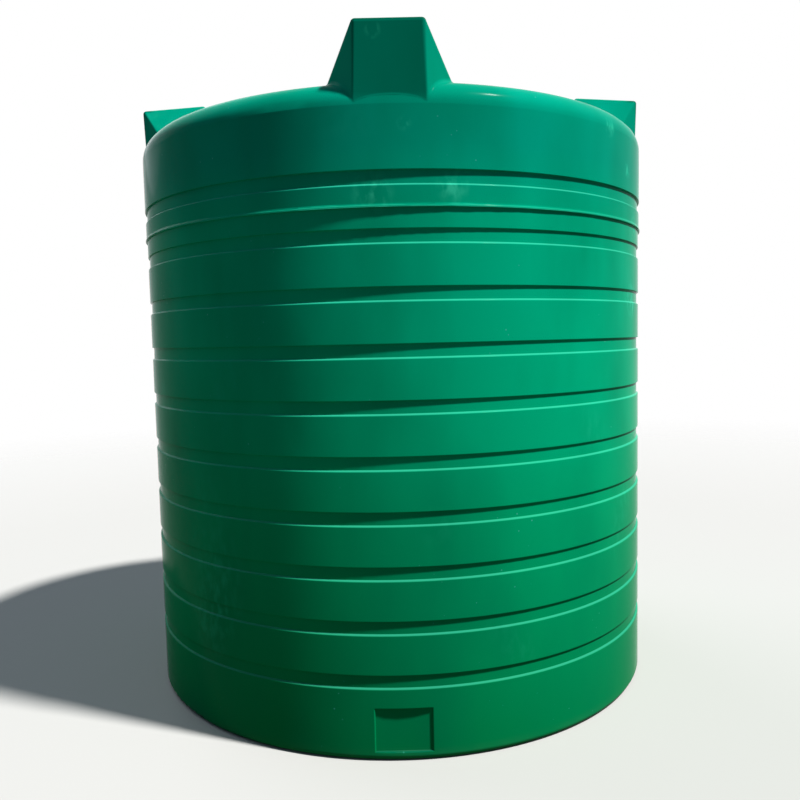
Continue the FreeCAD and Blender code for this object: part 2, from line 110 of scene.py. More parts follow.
class TankShellSettings(bpy.types.PropertyGroup):
    """Colours and surface sizes of the moulded shell."""
    green: bpy.props.FloatVectorProperty(
        name="Green", description="Pigment of the polyethylene in the middle of the wall",
        subtype="COLOR", size=4, min=0, max=1, default=linear("#00B07A"))
    # Painted ground bounce: a warmer green that grows darker towards the ground.
    foot_painted_bounce_green: bpy.props.FloatVectorProperty(
        name="Green at the foot", description="Warmer green near the ground, under a film of dust",
        subtype="COLOR", size=4, min=0, max=1, default=linear("#008A50"))
    # Painted sky reflection on the upper courses.
    upper_painted_sky_green: bpy.props.FloatVectorProperty(
        name="Green above the middle", description="Lighter green of the upper courses",
        subtype="COLOR", size=4, min=0, max=1, default=linear("#00B88C"))
    # Painted sky reflection on the crown and the lugs.
    crown_painted_sky_green: bpy.props.FloatVectorProperty(
        name="Green at the crown", description="Cooler green of the crown and the lugs",
        subtype="COLOR", size=4, min=0, max=1, default=linear("#00A98C"))
    cloud_green: bpy.props.FloatVectorProperty(
        name="Green of the clouds", description="Darker green where the powder took more pigment",
        subtype="COLOR", size=4, min=0, max=1, default=linear("#007A55"))
    # Colour of the dirt on the lugs' faces and of the painted shade under them and on the outlet
    # ledges.
    painted_shade_and_stain: bpy.props.FloatVectorProperty(
        name="Stain", description="Dirt that rain drags down from the lugs",
        subtype="COLOR", size=4, min=0, max=1, default=linear("#00553F"))
    smear: bpy.props.FloatVectorProperty(
        name="Smear", description="Lighter green where something dragged along the wall",
        subtype="COLOR", size=4, min=0, max=1, default=linear("#3FE2B8"))
    # Colour of the painted highlight on the bands' upper edges, and of the pale specks.
    painted_edge_highlight_and_speck: bpy.props.FloatVectorProperty(
        name="Scuff", description="Pale stress colour of rubbed edges and specks",
        subtype="COLOR", size=4, min=0, max=1, default=linear("#5AC6B8"))
    dust: bpy.props.FloatVectorProperty(
        name="Dust", description="Dust that settles on the roof and the foot",
        subtype="COLOR", size=4, min=0, max=1, default=linear("#8E9A83"))
    roughness: bpy.props.FloatProperty(
        name="Roughness", description="Gloss of the moulded face", min=0, max=1, default=0.12)
    wave_size: bpy.props.FloatProperty(
        name="Wave size", description="Spacing of the slow waves left by cooling",
        unit="LENGTH", subtype="DISTANCE", min=0.01, default=170 * MM)
    wave_depth: bpy.props.FloatProperty(
        name="Wave depth", description="Height of those waves",
        unit="LENGTH", subtype="DISTANCE", min=0, default=0.7 * MM)
    peel_size: bpy.props.FloatProperty(
        name="Peel size", description="Spacing of the fine orange peel of the mould face",
        unit="LENGTH", subtype="DISTANCE", min=0.001, default=6 * MM)
    peel_depth: bpy.props.FloatProperty(
        name="Peel depth", description="Height of the orange peel",
        unit="LENGTH", subtype="DISTANCE", min=0, default=0.012 * MM)
    flash_reach: bpy.props.FloatProperty(
        name="Flash reach", description="How far the trimmed flash stands out where it is widest",
        unit="LENGTH", subtype="DISTANCE", min=0.0001, default=1.4 * MM)
    flash_wall: bpy.props.FloatProperty(
        name="Flash thickness", description="Thickness of the flash at the parting of the mould",
        unit="LENGTH", subtype="DISTANCE", min=0.0001, default=1.4 * MM)


class TankTrimSettings(bpy.types.PropertyGroup):
    """Colours and sizes of the lid and the pipe fittings."""
    lid: bpy.props.FloatVectorProperty(
        name="Lid", description="Colour of the screw lid",
        subtype="COLOR", size=4, min=0, max=1, default=linear("#17191B"))
    fitting: bpy.props.FloatVectorProperty(
        name="Fitting", description="Colour of the polypropylene fittings",
        subtype="COLOR", size=4, min=0, max=1, default=linear("#1C1D1F"))
    gasket: bpy.props.FloatVectorProperty(
        name="Gasket", description="Colour of the rubber rings",
        subtype="COLOR", size=4, min=0, max=1, default=linear("#121212"))
    film: bpy.props.FloatVectorProperty(
        name="Film", description="Colour of the dusty film on the black parts",
        subtype="COLOR", size=4, min=0, max=1, default=linear("#45473F"))
    thread_pitch: bpy.props.FloatProperty(
        name="Thread pitch", description="Pitch of the pipe thread on the stubs",
        unit="LENGTH", subtype="DISTANCE", min=0.001, default=2.31 * MM)
    thread_depth: bpy.props.FloatProperty(
        name="Thread depth", description="Height of that thread",
        unit="LENGTH", subtype="DISTANCE", min=0.0001, default=1.2 * MM)
    lid_ribs: bpy.props.IntProperty(
        name="Lid ribs", description="Radial ribs on the lid's flat rim", min=3, default=36)
    lid_rib_height: bpy.props.FloatProperty(
        name="Lid rib height", description="Height of those ribs",
        unit="LENGTH", subtype="DISTANCE", min=0.0005, default=3 * MM)
    lid_rib_width: bpy.props.FloatProperty(
        name="Lid rib width", description="Width of those ribs at their foot",
        unit="LENGTH", subtype="DISTANCE", min=0.0005, default=4 * MM)


class TankStageSettings(bpy.types.PropertyGroup):
    """Floor, lamps and camera."""
    floor: bpy.props.FloatVectorProperty(
        name="Floor", description="Colour of the floor to the eye",
        subtype="COLOR", size=4, min=0, max=1, default=linear("#C8C8C6"))
    floor_bounce: bpy.props.FloatVectorProperty(
        name="Floor bounce", description="Colour that sets how much light the floor sends up",
        subtype="COLOR", size=4, min=0, max=1, default=linear("#5E5B44"))
    floor_reach: bpy.props.FloatProperty(
        name="Floor reach", description="Radius at which the floor has faded into the background",
        unit="LENGTH", subtype="DISTANCE", min=1, default=9.0)
    sky: bpy.props.FloatVectorProperty(
        name="Sky light", description="Colour of the soft light from all round",
        subtype="COLOR", size=4, min=0, max=1, default=linear("#BFD6F2"))
    sky_strength: bpy.props.FloatProperty(
        name="Sky strength", description="Strength of the soft light from all round",
        min=0, default=0.15)
    key_strength: bpy.props.FloatProperty(
        name="Key strength", description="Strength of the key lamp", min=0, default=5.0)
    key_spread: bpy.props.FloatProperty(
        name="Key spread", description="Angle that the key lamp fills, which softens its shadows",
        subtype="ANGLE", default=math.radians(4))
    key_azimuth: bpy.props.FloatProperty(
        name="Key azimuth", description="Key lamp's turn from the front to the right",
        subtype="ANGLE", default=math.radians(68))
    key_elevation: bpy.props.FloatProperty(
        name="Key elevation", description="Key lamp's height angle",
        subtype="ANGLE", default=math.radians(58))
    rim_strength: bpy.props.FloatProperty(
        name="Rim strength", description="Strength of the broad lamp behind on the left",
        min=0, default=0.8)
    rim_spread: bpy.props.FloatProperty(
        name="Rim spread", description="Angle that the lamp behind fills",
        subtype="ANGLE", default=math.radians(50))
    rim_azimuth: bpy.props.FloatProperty(
        name="Rim azimuth", description="Turn of the lamp behind from the front to the right",
        subtype="ANGLE", default=math.radians(-135))
    rim_elevation: bpy.props.FloatProperty(
        name="Rim elevation", description="Height angle of the lamp behind",
        subtype="ANGLE", default=math.radians(35))
    camera_distance: bpy.props.FloatProperty(
        name="Camera distance", description="From the tank's axis to the camera",
        unit="LENGTH", subtype="DISTANCE", default=3.104)
    camera_height: bpy.props.FloatProperty(
        name="Camera height", description="Height of the camera over the ground",
        unit="LENGTH", subtype="DISTANCE", default=1.219)
    camera_yaw: bpy.props.FloatProperty(
        name="Camera yaw", description="Turn of the view to the right",
        subtype="ANGLE", default=math.radians(0.236))
    camera_pitch: bpy.props.FloatProperty(
        name="Camera pitch", description="Tilt of the view upward",
        subtype="ANGLE", default=math.radians(-4.480))
    camera_roll: bpy.props.FloatProperty(
        name="Camera roll", description="Roll of the view",
        subtype="ANGLE", default=math.radians(-1.295))
    camera_view: bpy.props.FloatProperty(
        name="Angle of view", description="Angle across the square picture",
        subtype="ANGLE", default=math.radians(53.72))


def add(tree, kind, inputs=None, **settings):
    """Add a node; settings are its own properties, inputs gives a value or a socket to link."""
    node = tree.nodes.new(kind)
    for name, value in settings.items():
        setattr(node, name, value)
    for name, value in (inputs or {}).items():
        if isinstance(value, bpy.types.NodeSocket):
            tree.links.new(value, node.inputs[name])
        else:
            node.inputs[name].default_value = value
    return node


def node_material(name, inputs):
    """Material with one Principled shader, whose inputs are given by a function of its tree."""
    material = bpy.data.materials.new(name)
    material.use_nodes = True
    tree = material.node_tree
    tree.nodes.clear()
    shader = add(tree, "ShaderNodeBsdfPrincipled", inputs(tree))
    add(tree, "ShaderNodeOutputMaterial", {"Surface": shader.outputs["BSDF"]})
    return material


def around(azimuth, radius, height):
    """Point at a turn from the front to the right, at a radius and height."""
    return Vector((math.sin(azimuth) * radius, -math.cos(azimuth) * radius, height))


def scuff_mask(tree, place):
    """Mask of the rubbed spots: broken drag marks inside soft patches."""
    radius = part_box("lip_course")[1].x
    patches = 0.0
    for degrees, height, size in SCUFFS:
        centre = around(math.radians(degrees), radius, height)
        apart = add(tree, "ShaderNodeVectorMath", {0: place, 1: centre}, operation="DISTANCE")
        patch = add(tree, "ShaderNodeMapRange", {
            "Value": apart.outputs["Value"], "From Min": size * 1.2, "From Max": size * 0.3})
        patches = add(tree, "ShaderNodeMath", {0: patches, 1: patch.outputs["Result"]},
                      operation="MAXIMUM").outputs[0]
    # A sparse set of fainter patches all round, so that the other sides are worn too.
    spread = add(tree, "ShaderNodeTexNoise", {
        "Vector": place, "Scale": 1 / WEAR_SPACING, "Detail": 1.0})
    worn = add(tree, "ShaderNodeMapRange", {
        "Value": spread.outputs["Fac"], "From Min": 0.64, "From Max": 0.78, "To Max": 0.35})
    patches = add(tree, "ShaderNodeMath", {0: patches, 1: worn.outputs["Result"]},
                  operation="MAXIMUM").outputs[0]
    # Smears a centimetre or two wide, a little longer down the wall than across it.
    slanted = add(tree, "ShaderNodeMapping", {
        "Vector": place, "Rotation": (0.3, 0.2, 0.0), "Scale": (1.0, 1.0, 0.55)})
    drag = add(tree, "ShaderNodeTexNoise", {
        "Vector": slanted.outputs["Vector"], "Scale": 1 / SMEAR_SIZE, "Detail": 3.0,
        "Roughness": 0.5})
    marks = add(tree, "ShaderNodeMapRange", {
        "Value": drag.outputs["Fac"], "From Min": 0.44, "From Max": 0.72})
    return add(tree, "ShaderNodeMath", {0: patches, 1: marks.outputs["Result"]},
               operation="MULTIPLY").outputs[0]


def painted_light_and_pigment_layers(tree, settings, place, height):
    """Greens by height: a painted sky reflection towards the crown, painted ground bounce at the
    foot; the powder's clouds all over.
    """
    layers = []
    for (start, end), colour in ((UPPER_RISE, settings.upper_painted_sky_green),
                                 (CROWN_RISE, settings.crown_painted_sky_green),
                                 (FOOT_FALL, settings.foot_painted_bounce_green)):
        turn = add(tree, "ShaderNodeMapRange", {
            "Value": height, "From Min": start, "From Max": end})
        layers.append((turn.outputs["Result"], colour))
    drawn = add(tree, "ShaderNodeMapping", {"Vector": place, "Scale": (1.0, 1.0, 0.4)})
    swirl = add(tree, "ShaderNodeTexNoise", {
        "Vector": drawn.outputs["Vector"], "Scale": 1 / CLOUD_SIZE, "Detail": 3.0,
        "Roughness": 0.45})
    cloud = add(tree, "ShaderNodeMapRange", {
        "Value": swirl.outputs["Fac"], "From Min": 0.42, "From Max": 0.75, "To Max": 0.45})
    layers.append((cloud.outputs["Result"], settings.cloud_green))
    return layers


def dust_film(tree, place, height, level):
    """Mask of the dust on what lies level, and of a little splashed up at the very foot."""
    settled = add(tree, "ShaderNodeMapRange", {
        "Value": level, "From Min": 0.86, "From Max": 0.99, "To Max": 0.3})
    splashed = add(tree, "ShaderNodeMapRange", {
        "Value": height, "From Min": SPLASH_HEIGHT, "From Max": 0.0, "To Max": 0.06})
    dusty = add(tree, "ShaderNodeMath", {
        0: settled.outputs["Result"], 1: splashed.outputs["Result"]}, operation="MAXIMUM")
    grime = add(tree, "ShaderNodeTexNoise", {
        "Vector": place, "Scale": 1 / GRIME_SIZE, "Detail": 5.0, "Roughness": 0.6})
    patchy = add(tree, "ShaderNodeMapRange", {
        "Value": grime.outputs["Fac"], "From Min": 0.35, "From Max": 0.65, "To Min": 0.25})
    return add(tree, "ShaderNodeMath", {
        0: dusty.outputs[0], 1: patchy.outputs["Result"]}, operation="MULTIPLY").outputs[0]


def painted_shade_and_stain_mask(tree, place, height, level):
    """Mask of dirt on the lugs' faces, a painted shadow on the shoulder below them, and painted
    shade on the outlet lands' ledges.
    """
    # On the lugs' faces and, as a painted shadow, on the shoulder just below them; the lugs' tops
    # stay clear.
    flat = add(tree, "ShaderNodeVectorMath", {0: place}, operation="ABSOLUTE")
    aside = add(tree, "ShaderNodeSeparateXYZ", {"Vector": flat.outputs["Vector"]})
    off_axis = add(tree, "ShaderNodeMath", {
        0: aside.outputs["X"], 1: aside.outputs["Y"]}, operation="MINIMUM")
    from_axis = add(tree, "ShaderNodeMath", {
        0: aside.outputs["X"], 1: aside.outputs["Y"]}, operation="MAXIMUM")
    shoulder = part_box("crown_course")[1].z
    lug_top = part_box("lug_front")[1].z
    painted_shade_and_stain = 1.0
    for value, (start, end) in (
            (height, (shoulder - PAINTED_SHADE_AND_STAIN_DROP[0], shoulder - PAINTED_SHADE_AND_STAIN_DROP[1])),
            (off_axis.outputs[0], LUG_HALF_WIDTH), (from_axis.outputs[0], LUG_FACE),
            (height, (lug_top - LUG_CREST[0], lug_top - LUG_CREST[1]))):
        inside = add(tree, "ShaderNodeMapRange", {
            "Value": value, "From Min": start, "From Max": end})
        painted_shade_and_stain = add(tree, "ShaderNodeMath", {0: painted_shade_and_stain, 1: inside.outputs["Result"]},
                    operation="MULTIPLY").outputs[0]
    # Stronger where the surface turns upward towards the key lamp.
    lying = add(tree, "ShaderNodeMapRange", {
        "Value": level, "From Min": 0.1, "From Max": 0.4, "To Min": 0.4, "To Max": 0.85})
    painted_shade_and_stain = add(tree, "ShaderNodeMath", {0: painted_shade_and_stain, 1: lying.outputs["Result"]},
                operation="MULTIPLY")
    # Painted shade on the ledges of the outlet lands, which face up into the light.
    ledge = add(tree, "ShaderNodeMapRange", {
        "Value": level, "From Min": 0.2, "From Max": 0.6, "To Max": 0.8})
    near = add(tree, "ShaderNodeMath", {0: height, 1: BAND_START}, operation="LESS_THAN")
    return add(tree, "ShaderNodeMath", {
        0: ledge.outputs["Result"], 1: near.outputs[0], 2: painted_shade_and_stain.outputs[0]},
        operation="MULTIPLY_ADD").outputs[0]


def painted_edge_highlight_and_speck_mask(tree, place, height, level):
    """Mask of the painted highlight on the bands' rounded upper edges, and of the specks that
    splashes leave as they dry.
    """
    # Painted highlight and reflection where the bands' upper edges round over towards the top.
    rounded = add(tree, "ShaderNodeMapRange", {
        "Value": level, "From Min": 0.3, "From Max": 0.65, "To Max": 0.24})
    below = add(tree, "ShaderNodeMath", {
        0: height, 1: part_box("crown_course")[0].z}, operation="LESS_THAN")
    above = add(tree, "ShaderNodeMath", {0: height, 1: BAND_START}, operation="GREATER_THAN")
    banded = add(tree, "ShaderNodeMath", {
        0: below.outputs[0], 1: above.outputs[0]}, operation="MULTIPLY")
    edge = add(tree, "ShaderNodeMath", {
        0: rounded.outputs["Result"], 1: banded.outputs[0]}, operation="MULTIPLY")
    # The specks are a few millimetres wide and lie in drifts.
    grid = add(tree, "ShaderNodeTexVoronoi", {"Vector": place, "Scale": 1 / SPECK_SPACING})
    drop = add(tree, "ShaderNodeMapRange", {
        "Value": grid.outputs["Distance"], "From Min": 0.09, "From Max": 0.05})
    drift = add(tree, "ShaderNodeTexNoise", {
        "Vector": place, "Scale": 1 / DRIFT_SIZE, "Detail": 2.0, "W": 3.0},
        noise_dimensions="4D")
    spread = add(tree, "ShaderNodeMapRange", {
        "Value": drift.outputs["Fac"], "From Min": 0.54, "From Max": 0.66, "To Max": 0.7})
    speck = add(tree, "ShaderNodeMath", {
        0: drop.outputs["Result"], 1: spread.outputs["Result"]}, operation="MULTIPLY")
    return add(tree, "ShaderNodeMath", {
        0: edge.outputs[0], 1: speck.outputs[0]}, operation="MAXIMUM").outputs[0]


def shell_relief(tree, settings, place):
    """Bumped normal of the cooling waves and the orange peel, each at its real size."""
    wave = add(tree, "ShaderNodeTexNoise", {
        "Vector": place, "Scale": 1 / settings.wave_size, "Detail": 1.5, "Roughness": 0.4})
    peel = add(tree, "ShaderNodeTexNoise", {
        "Vector": place, "Scale": 1 / settings.peel_size, "Detail": 1.0})
    fine = add(tree, "ShaderNodeMath", {
        0: peel.outputs["Fac"], 1: settings.peel_depth}, operation="MULTIPLY")
    relief = add(tree, "ShaderNodeMath", {
        0: wave.outputs["Fac"], 1: settings.wave_depth, 2: fine.outputs[0]},
        operation="MULTIPLY_ADD")
    return add(tree, "ShaderNodeBump", {
        "Height": relief.outputs[0], "Strength": 1.0, "Distance": 1.0}).outputs["Normal"]


def shell_material(settings):
    """Rotationally moulded linear polyethylene, pigmented green through and through.

    The powder fuses against a polished steel mould, so the outside is smooth with fine orange
    peel. The wall shrinks from the mould unevenly as it cools, which leaves long soft waves that
    bend each reflection, and the pigment lies in faint clouds. The colour also carries painted
    light: sky and ground-bounce tints by height, shade under the lugs and on the ledges, and
    highlights on the bands' upper edges.
    """
    def inputs(tree):
        place = add(tree, "ShaderNodeTexCoord").outputs["Object"]
        height = add(tree, "ShaderNodeSeparateXYZ", {"Vector": place}).outputs["Z"]
        level = add(tree, "ShaderNodeSeparateXYZ", {
            "Vector": add(tree, "ShaderNodeNewGeometry").outputs["Normal"]}).outputs["Z"]

        # Colour: the pigment with its painted sky and ground-bounce tints first, then what lies on
        # it, the painted shade and the painted edge highlights among it, each over the last.
        film = dust_film(tree, place, height, level)
        scuffed = scuff_mask(tree, place)
        smeared = add(tree, "ShaderNodeMath", {0: scuffed, 1: SMEAR_SHARE}, operation="MULTIPLY")
        tone = settings.green
        for mask, colour in (*painted_light_and_pigment_layers(tree, settings, place, height),
                             (film, settings.dust),
                             (painted_shade_and_stain_mask(tree, place, height, level), settings.painted_shade_and_stain),
                             (smeared.outputs[0], settings.smear),
                             (painted_edge_highlight_and_speck_mask(tree, place, height, level), settings.painted_edge_highlight_and_speck)):
            tone = add(tree, "ShaderNodeMix", {
                MIX_FACTOR: mask, MIX_FIRST: tone, MIX_SECOND: colour},
                data_type="RGBA").outputs[MIX_RESULT]

        # Gloss: even, a little hazier in patches, dull under dust and scuffs.
        haze = add(tree, "ShaderNodeTexNoise", {
            "Vector": place, "Scale": 1 / HAZE_SIZE, "Detail": 3.0})
        gloss = add(tree, "ShaderNodeMapRange", {
            "Value": haze.outputs["Fac"], "From Min": 0.3, "From Max": 0.7,
            "To Min": settings.roughness - 0.03, "To Max": settings.roughness + 0.04})
        dull = add(tree, "ShaderNodeMath", {0: film, 1: scuffed}, operation="MAXIMUM")
        rough = add(tree, "ShaderNodeMath", {
            0: dull.outputs[0], 1: DULLING, 2: gloss.outputs["Result"]},
            operation="MULTIPLY_ADD")
        return {
            "Base Color": tone, "Roughness": rough.outputs[0],
            "Normal": shell_relief(tree, settings, place), "IOR": POLYETHYLENE_IOR,
            "Specular IOR Level": SHELL_SPECULAR,
        }
    return node_material("moulded_green_polyethylene", inputs)


def black_material(name, colour, film, roughness, grain, depth, ior):
    """Black moulded part: even colour, spark texture of its mould and a thin dusty film."""
    def inputs(tree):
        place = add(tree, "ShaderNodeTexCoord").outputs["Object"]
        lying = add(tree, "ShaderNodeTexNoise", {
            "Vector": place, "Scale": 1 / BLACK_DUST_SIZE, "Detail": 4.0, "Roughness": 0.6})
        dusty = add(tree, "ShaderNodeMapRange", {
            "Value": lying.outputs["Fac"], "From Min": 0.42, "From Max": 0.72, "To Max": 0.4})
        tone = add(tree, "ShaderNodeMix", {
            MIX_FACTOR: dusty.outputs["Result"], MIX_FIRST: colour, MIX_SECOND: film},
            data_type="RGBA")
        rubbed = add(tree, "ShaderNodeTexNoise", {
            "Vector": place, "Scale": 1 / BLACK_RUB_SIZE, "Detail": 3.0})
        rough = add(tree, "ShaderNodeMapRange", {
            "Value": rubbed.outputs["Fac"], "From Min": 0.3, "From Max": 0.7,
            "To Min": roughness - 0.06, "To Max": roughness + 0.08})
        spark = add(tree, "ShaderNodeTexNoise", {
            "Vector": place, "Scale": 1 / grain, "Detail": 2.0})
        normal = add(tree, "ShaderNodeBump", {
            "Height": spark.outputs["Fac"], "Strength": 1.0, "Distance": depth})
        return {
            "Base Color": tone.outputs[MIX_RESULT], "Roughness": rough.outputs["Result"],
            "Normal": normal.outputs["Normal"], "IOR": ior,
        }
    return node_material(name, inputs)


def floor_material(settings):
    """Matt pale studio floor that fades out, so that the background has no horizon.

    The eye sees it near white; what lights the tank from below is a darker floor, as outdoors.
    """
    def inputs(tree):
        place = add(tree, "ShaderNodeTexCoord").outputs["Object"]
        path = add(tree, "ShaderNodeLightPath")
        seen = add(tree, "ShaderNodeMath", {
            0: path.outputs["Is Camera Ray"], 1: path.outputs["Is Glossy Ray"]},
            operation="MAXIMUM")
        seen = add(tree, "ShaderNodeMath", {
            0: seen.outputs[0], 1: path.outputs["Is Transmission Ray"]}, operation="MAXIMUM")
        tone = add(tree, "ShaderNodeMix", {
            MIX_FACTOR: seen.outputs[0], MIX_FIRST: settings.floor_bounce,
            MIX_SECOND: settings.floor}, data_type="RGBA")
        away = add(tree, "ShaderNodeVectorMath", {0: place}, operation="LENGTH")
        shown = add(tree, "ShaderNodeMapRange", {
            "Value": away.outputs["Value"], "From Min": settings.floor_reach * FADE_START,
            "From Max": settings.floor_reach, "To Min": 1.0, "To Max": 0.0})
        return {
            "Base Color": tone.outputs[MIX_RESULT], "Alpha": shown.outputs["Result"],
            "Roughness": 0.8, "Specular IOR Level": 0.0,
        }
    return node_material("matt_studio_floor", inputs)


def dress(obj, material):
    """Give an object one material."""
    obj.data.materials.clear()
    obj.data.materials.append(material)


def new_piece(name, points, faces, material):
    """New smooth mesh that rides on the tank and takes the material it is given."""
    mesh = bpy.data.meshes.new(name)
    mesh.from_pydata(points, [], faces)
    mesh.validate()
    for polygon in mesh.polygons:
        polygon.use_smooth = True
    mesh.set_sharp_from_angle(angle=SHARP_ANGLE)
    obj = bpy.data.objects.new(name, mesh)
    bpy.context.scene.collection.objects.link(obj)
    dress(obj, material)
    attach(obj, BODY)
    return obj


def skin_sections(sections, closed):
    """Faces that join like sections of points in order; closed joins the last to the first."""
    across = len(sections[0])
    count = len(sections)
    faces = []
    for step in range(count if closed else count - 1):
        for side in range(across):
            here, there = step * across, (step + 1) % count * across
            after = (side + 1) % across
            faces.append((here + side, here + after, there + after, there + side))
    if not closed:
        faces.append(tuple(reversed(range(across))))
        faces.append(tuple(range((count - 1) * across, count * across)))
    return faces


class TANK_OT_shell(bpy.types.Operator):
    """Give the moulded courses, the roof and the lugs their polyethylene finish"""
    bl_idname = "tank.shell"
    bl_label = "Finish the shell"

    def execute(self, context):
        material = shell_material(context.scene.tank_shell)
        for name in SHELL_NODES:
            dress(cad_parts[name], material)
        return {"FINISHED"}


class TANK_OT_flash(bpy.types.Operator):
    """Add the trimmed flash along the lip, where the two halves of the mould parted"""
    bl_idname = "tank.flash"
    bl_label = "Add the parting flash"

    def execute(self, context):
        settings = context.scene.tank_shell
        low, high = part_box("lip_course")
        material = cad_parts["lip_course"].data.materials[0]
        root = settings.flash_wall * 2
        sections = []
        steps = 1440
        for step in range(steps):
            turn = math.tau * step / steps
            # The knife wanders slowly along the rim and chatters in short cuts.
            slow = noise.noise(around(turn, 4.0, 0.0))
            quick = noise.noise(around(turn, 19.0, 7.0))
            share = min(1.0, max(0.12, 0.45 + 0.55 * slow + 0.35 * quick))
            tip = high.x + settings.flash_reach * share
            sag = low.z - settings.flash_reach * share * 0.6
            sections.append([
                around(turn, high.x - root, low.z + settings.flash_wall * 1.6),
                around(turn, high.x, low.z + settings.flash_wall * 1.2),
                around(turn, tip, sag + settings.flash_wall),
                around(turn, tip - settings.flash_wall * 0.5, sag),
                around(turn, high.x - root, low.z + settings.flash_wall * 0.2),
            ])
        points = [point for section in sections for point in section]
        new_piece("parting_flash", points, skin_sections(sections, True), material)
        return {"FINISHED"}


class TANK_OT_trim(bpy.types.Operator):
    """Give the lid, fittings and gaskets their finishes"""
    bl_idname = "tank.trim"
    bl_label = "Finish the lid and fittings"

    def execute(self, context):
        settings = context.scene.tank_trim
        # The real grains are finer than these, and would not show at their true size.
        # Moulded black polyethylene: satin, its fine texture blurs the lamps.
        lid = black_material("moulded_black_polyethylene", settings.lid, settings.film,
                             roughness=0.38, grain=1.2 * MM, depth=0.04 * MM,
                             ior=POLYETHYLENE_IOR)
        # Injection moulded polypropylene: a little duller, with a finer spark texture.
        pipe = black_material("injection_moulded_polypropylene", settings.fitting, settings.film,
                              roughness=0.42, grain=0.9 * MM, depth=0.03 * MM, ior=1.49)
        # Cut rubber sheet: matt, with the weave of its press cloth left as faint grain.
        ring = black_material("cut_rubber_sheet", settings.gasket, settings.film,
                              roughness=0.75, grain=0.8 * MM, depth=0.03 * MM, ior=1.52)
        dress(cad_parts["manhole_lid"], lid)
        for name in FITTINGS:
            dress(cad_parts[name + "_fitting"], pipe)
            dress(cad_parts[name + "_nut"], pipe)
            dress(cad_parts[name + "_gasket"], ring)
        return {"FINISHED"}


class TANK_OT_threads(bpy.types.Operator):
    """Cut the pipe threads on the outlet and overflow stubs"""
    bl_idname = "tank.threads"
    bl_label = "Add the pipe threads"

    def execute(self, context):
        settings = context.scene.tank_trim
        pitch, depth = settings.thread_pitch, settings.thread_depth
        # The ridge's foot lies a little inside the stub, so that no gap shows.
        sunk = -0.4 * MM
        steps = 48
        for name in FITTINGS:
            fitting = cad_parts[name + "_fitting"]
            low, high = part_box(name + "_fitting")
            axis = (low.z + high.z) / 2
            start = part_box(name + "_nut")[1].y + pitch
            end = high.y - pitch
            stub = max(math.hypot(vertex.co.x, vertex.co.z - axis)
                       for vertex in fitting.data.vertices if vertex.co.y > high.y - pitch)
            turns = int((end - start) / pitch)
            sections = []
            for step in range(turns * steps + 1):
                turn = math.tau * step / steps
                along = start + pitch * step / steps
                # The ridge fades in and out over its first and last turn.
                crest = depth * min(1.0, step / steps, (turns * steps - step) / steps)
                section = [(-pitch * 0.45, sunk), (-pitch * 0.1, crest), (pitch * 0.1, crest),
                           (pitch * 0.45, sunk)]
                sections.append([
                    Vector((math.cos(turn) * (stub + rise), along + shift,
                            axis + math.sin(turn) * (stub + rise))) for shift, rise in section])
            points = [point for section in sections for point in section]
            new_piece(name + "_thread", points, skin_sections(sections, False),
                      fitting.data.materials[0])
        return {"FINISHED"}


class TANK_OT_lid_ribs(bpy.types.Operator):
    """Add the radial ribs on the lid's flat rim"""
    bl_idname = "tank.lid_ribs"
    bl_label = "Add the lid ribs"

    def execute(self, context):
        settings = context.scene.tank_trim
        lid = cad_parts["manhole_lid"]
        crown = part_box("manhole_lid")[1].z
        # The flat rim is the level just below the crown; its inner edge is where the crown starts.
        levels = sorted({round(vertex.co.z, 5) for vertex in lid.data.vertices}, reverse=True)
        rim = next(level for level in levels if level < crown - 2 * settings.lid_rib_height)
        reaches = [math.hypot(vertex.co.x, vertex.co.y) for vertex in lid.data.vertices
                   if abs(vertex.co.z - rim) < 0.1 * MM]
        # The ribs stop short of both edges of the rim.
        margin = 8 * MM
        start, end = min(reaches) + margin, max(reaches) - margin
        half, tall = settings.lid_rib_width / 2, settings.lid_rib_height
        points, faces = [], []
        for number in range(settings.lid_ribs):
            turn = Matrix.Rotation(math.tau * number / settings.lid_ribs, 3, "Z")
            sections = []
            for reach, rise in ((start, 0.1), (start + tall * 1.5, 1.0), (end - tall * 1.5, 1.0),
                                (end, 0.1)):
                profile = ((-half, -0.1), (-half * 0.7, rise * 0.75), (-half * 0.35, rise),
                           (half * 0.35, rise), (half * 0.7, rise * 0.75), (half, -0.1))
                sections.append([turn @ Vector((reach, across, rim + tall * share))
                                 for across, share in profile])
            first = len(points)
            points += [point for section in sections for point in section]
            faces += [tuple(first + corner for corner in face)
                      for face in skin_sections(sections, False)]
        new_piece("lid_ribs", points, faces, lid.data.materials[0])
        return {"FINISHED"}


def camera_axes(yaw, pitch, roll):
    """Right, up and backward axes of a camera that looks along +Y at no yaw."""
    ahead = Vector((math.sin(yaw) * math.cos(pitch), math.cos(yaw) * math.cos(pitch),
                    math.sin(pitch)))
    level = Vector((math.cos(yaw), -math.sin(yaw), 0))
    over = level.cross(ahead)
    right = level * math.cos(roll) + over * math.sin(roll)
    up = over * math.cos(roll) - level * math.sin(roll)
    return right, up, -ahead


def far_lamp(name, azimuth, elevation, spread, strength, colour):
    """Far lamp by its turn from the front to the right, its height angle and the angle it fills."""
    lamp = bpy.data.lights.new(name, "SUN")
    lamp.energy = strength
    lamp.angle = spread
    lamp.color = colour
    obj = bpy.data.objects.new(name, lamp)
    bpy.context.scene.collection.objects.link(obj)
    toward = around(azimuth, math.cos(elevation), math.sin(elevation))
    # The distance is only for the viewport: this lamp's rays are parallel from anywhere.
    obj.location = toward * 5
    obj.rotation_euler = toward.to_track_quat("Z", "Y").to_euler()


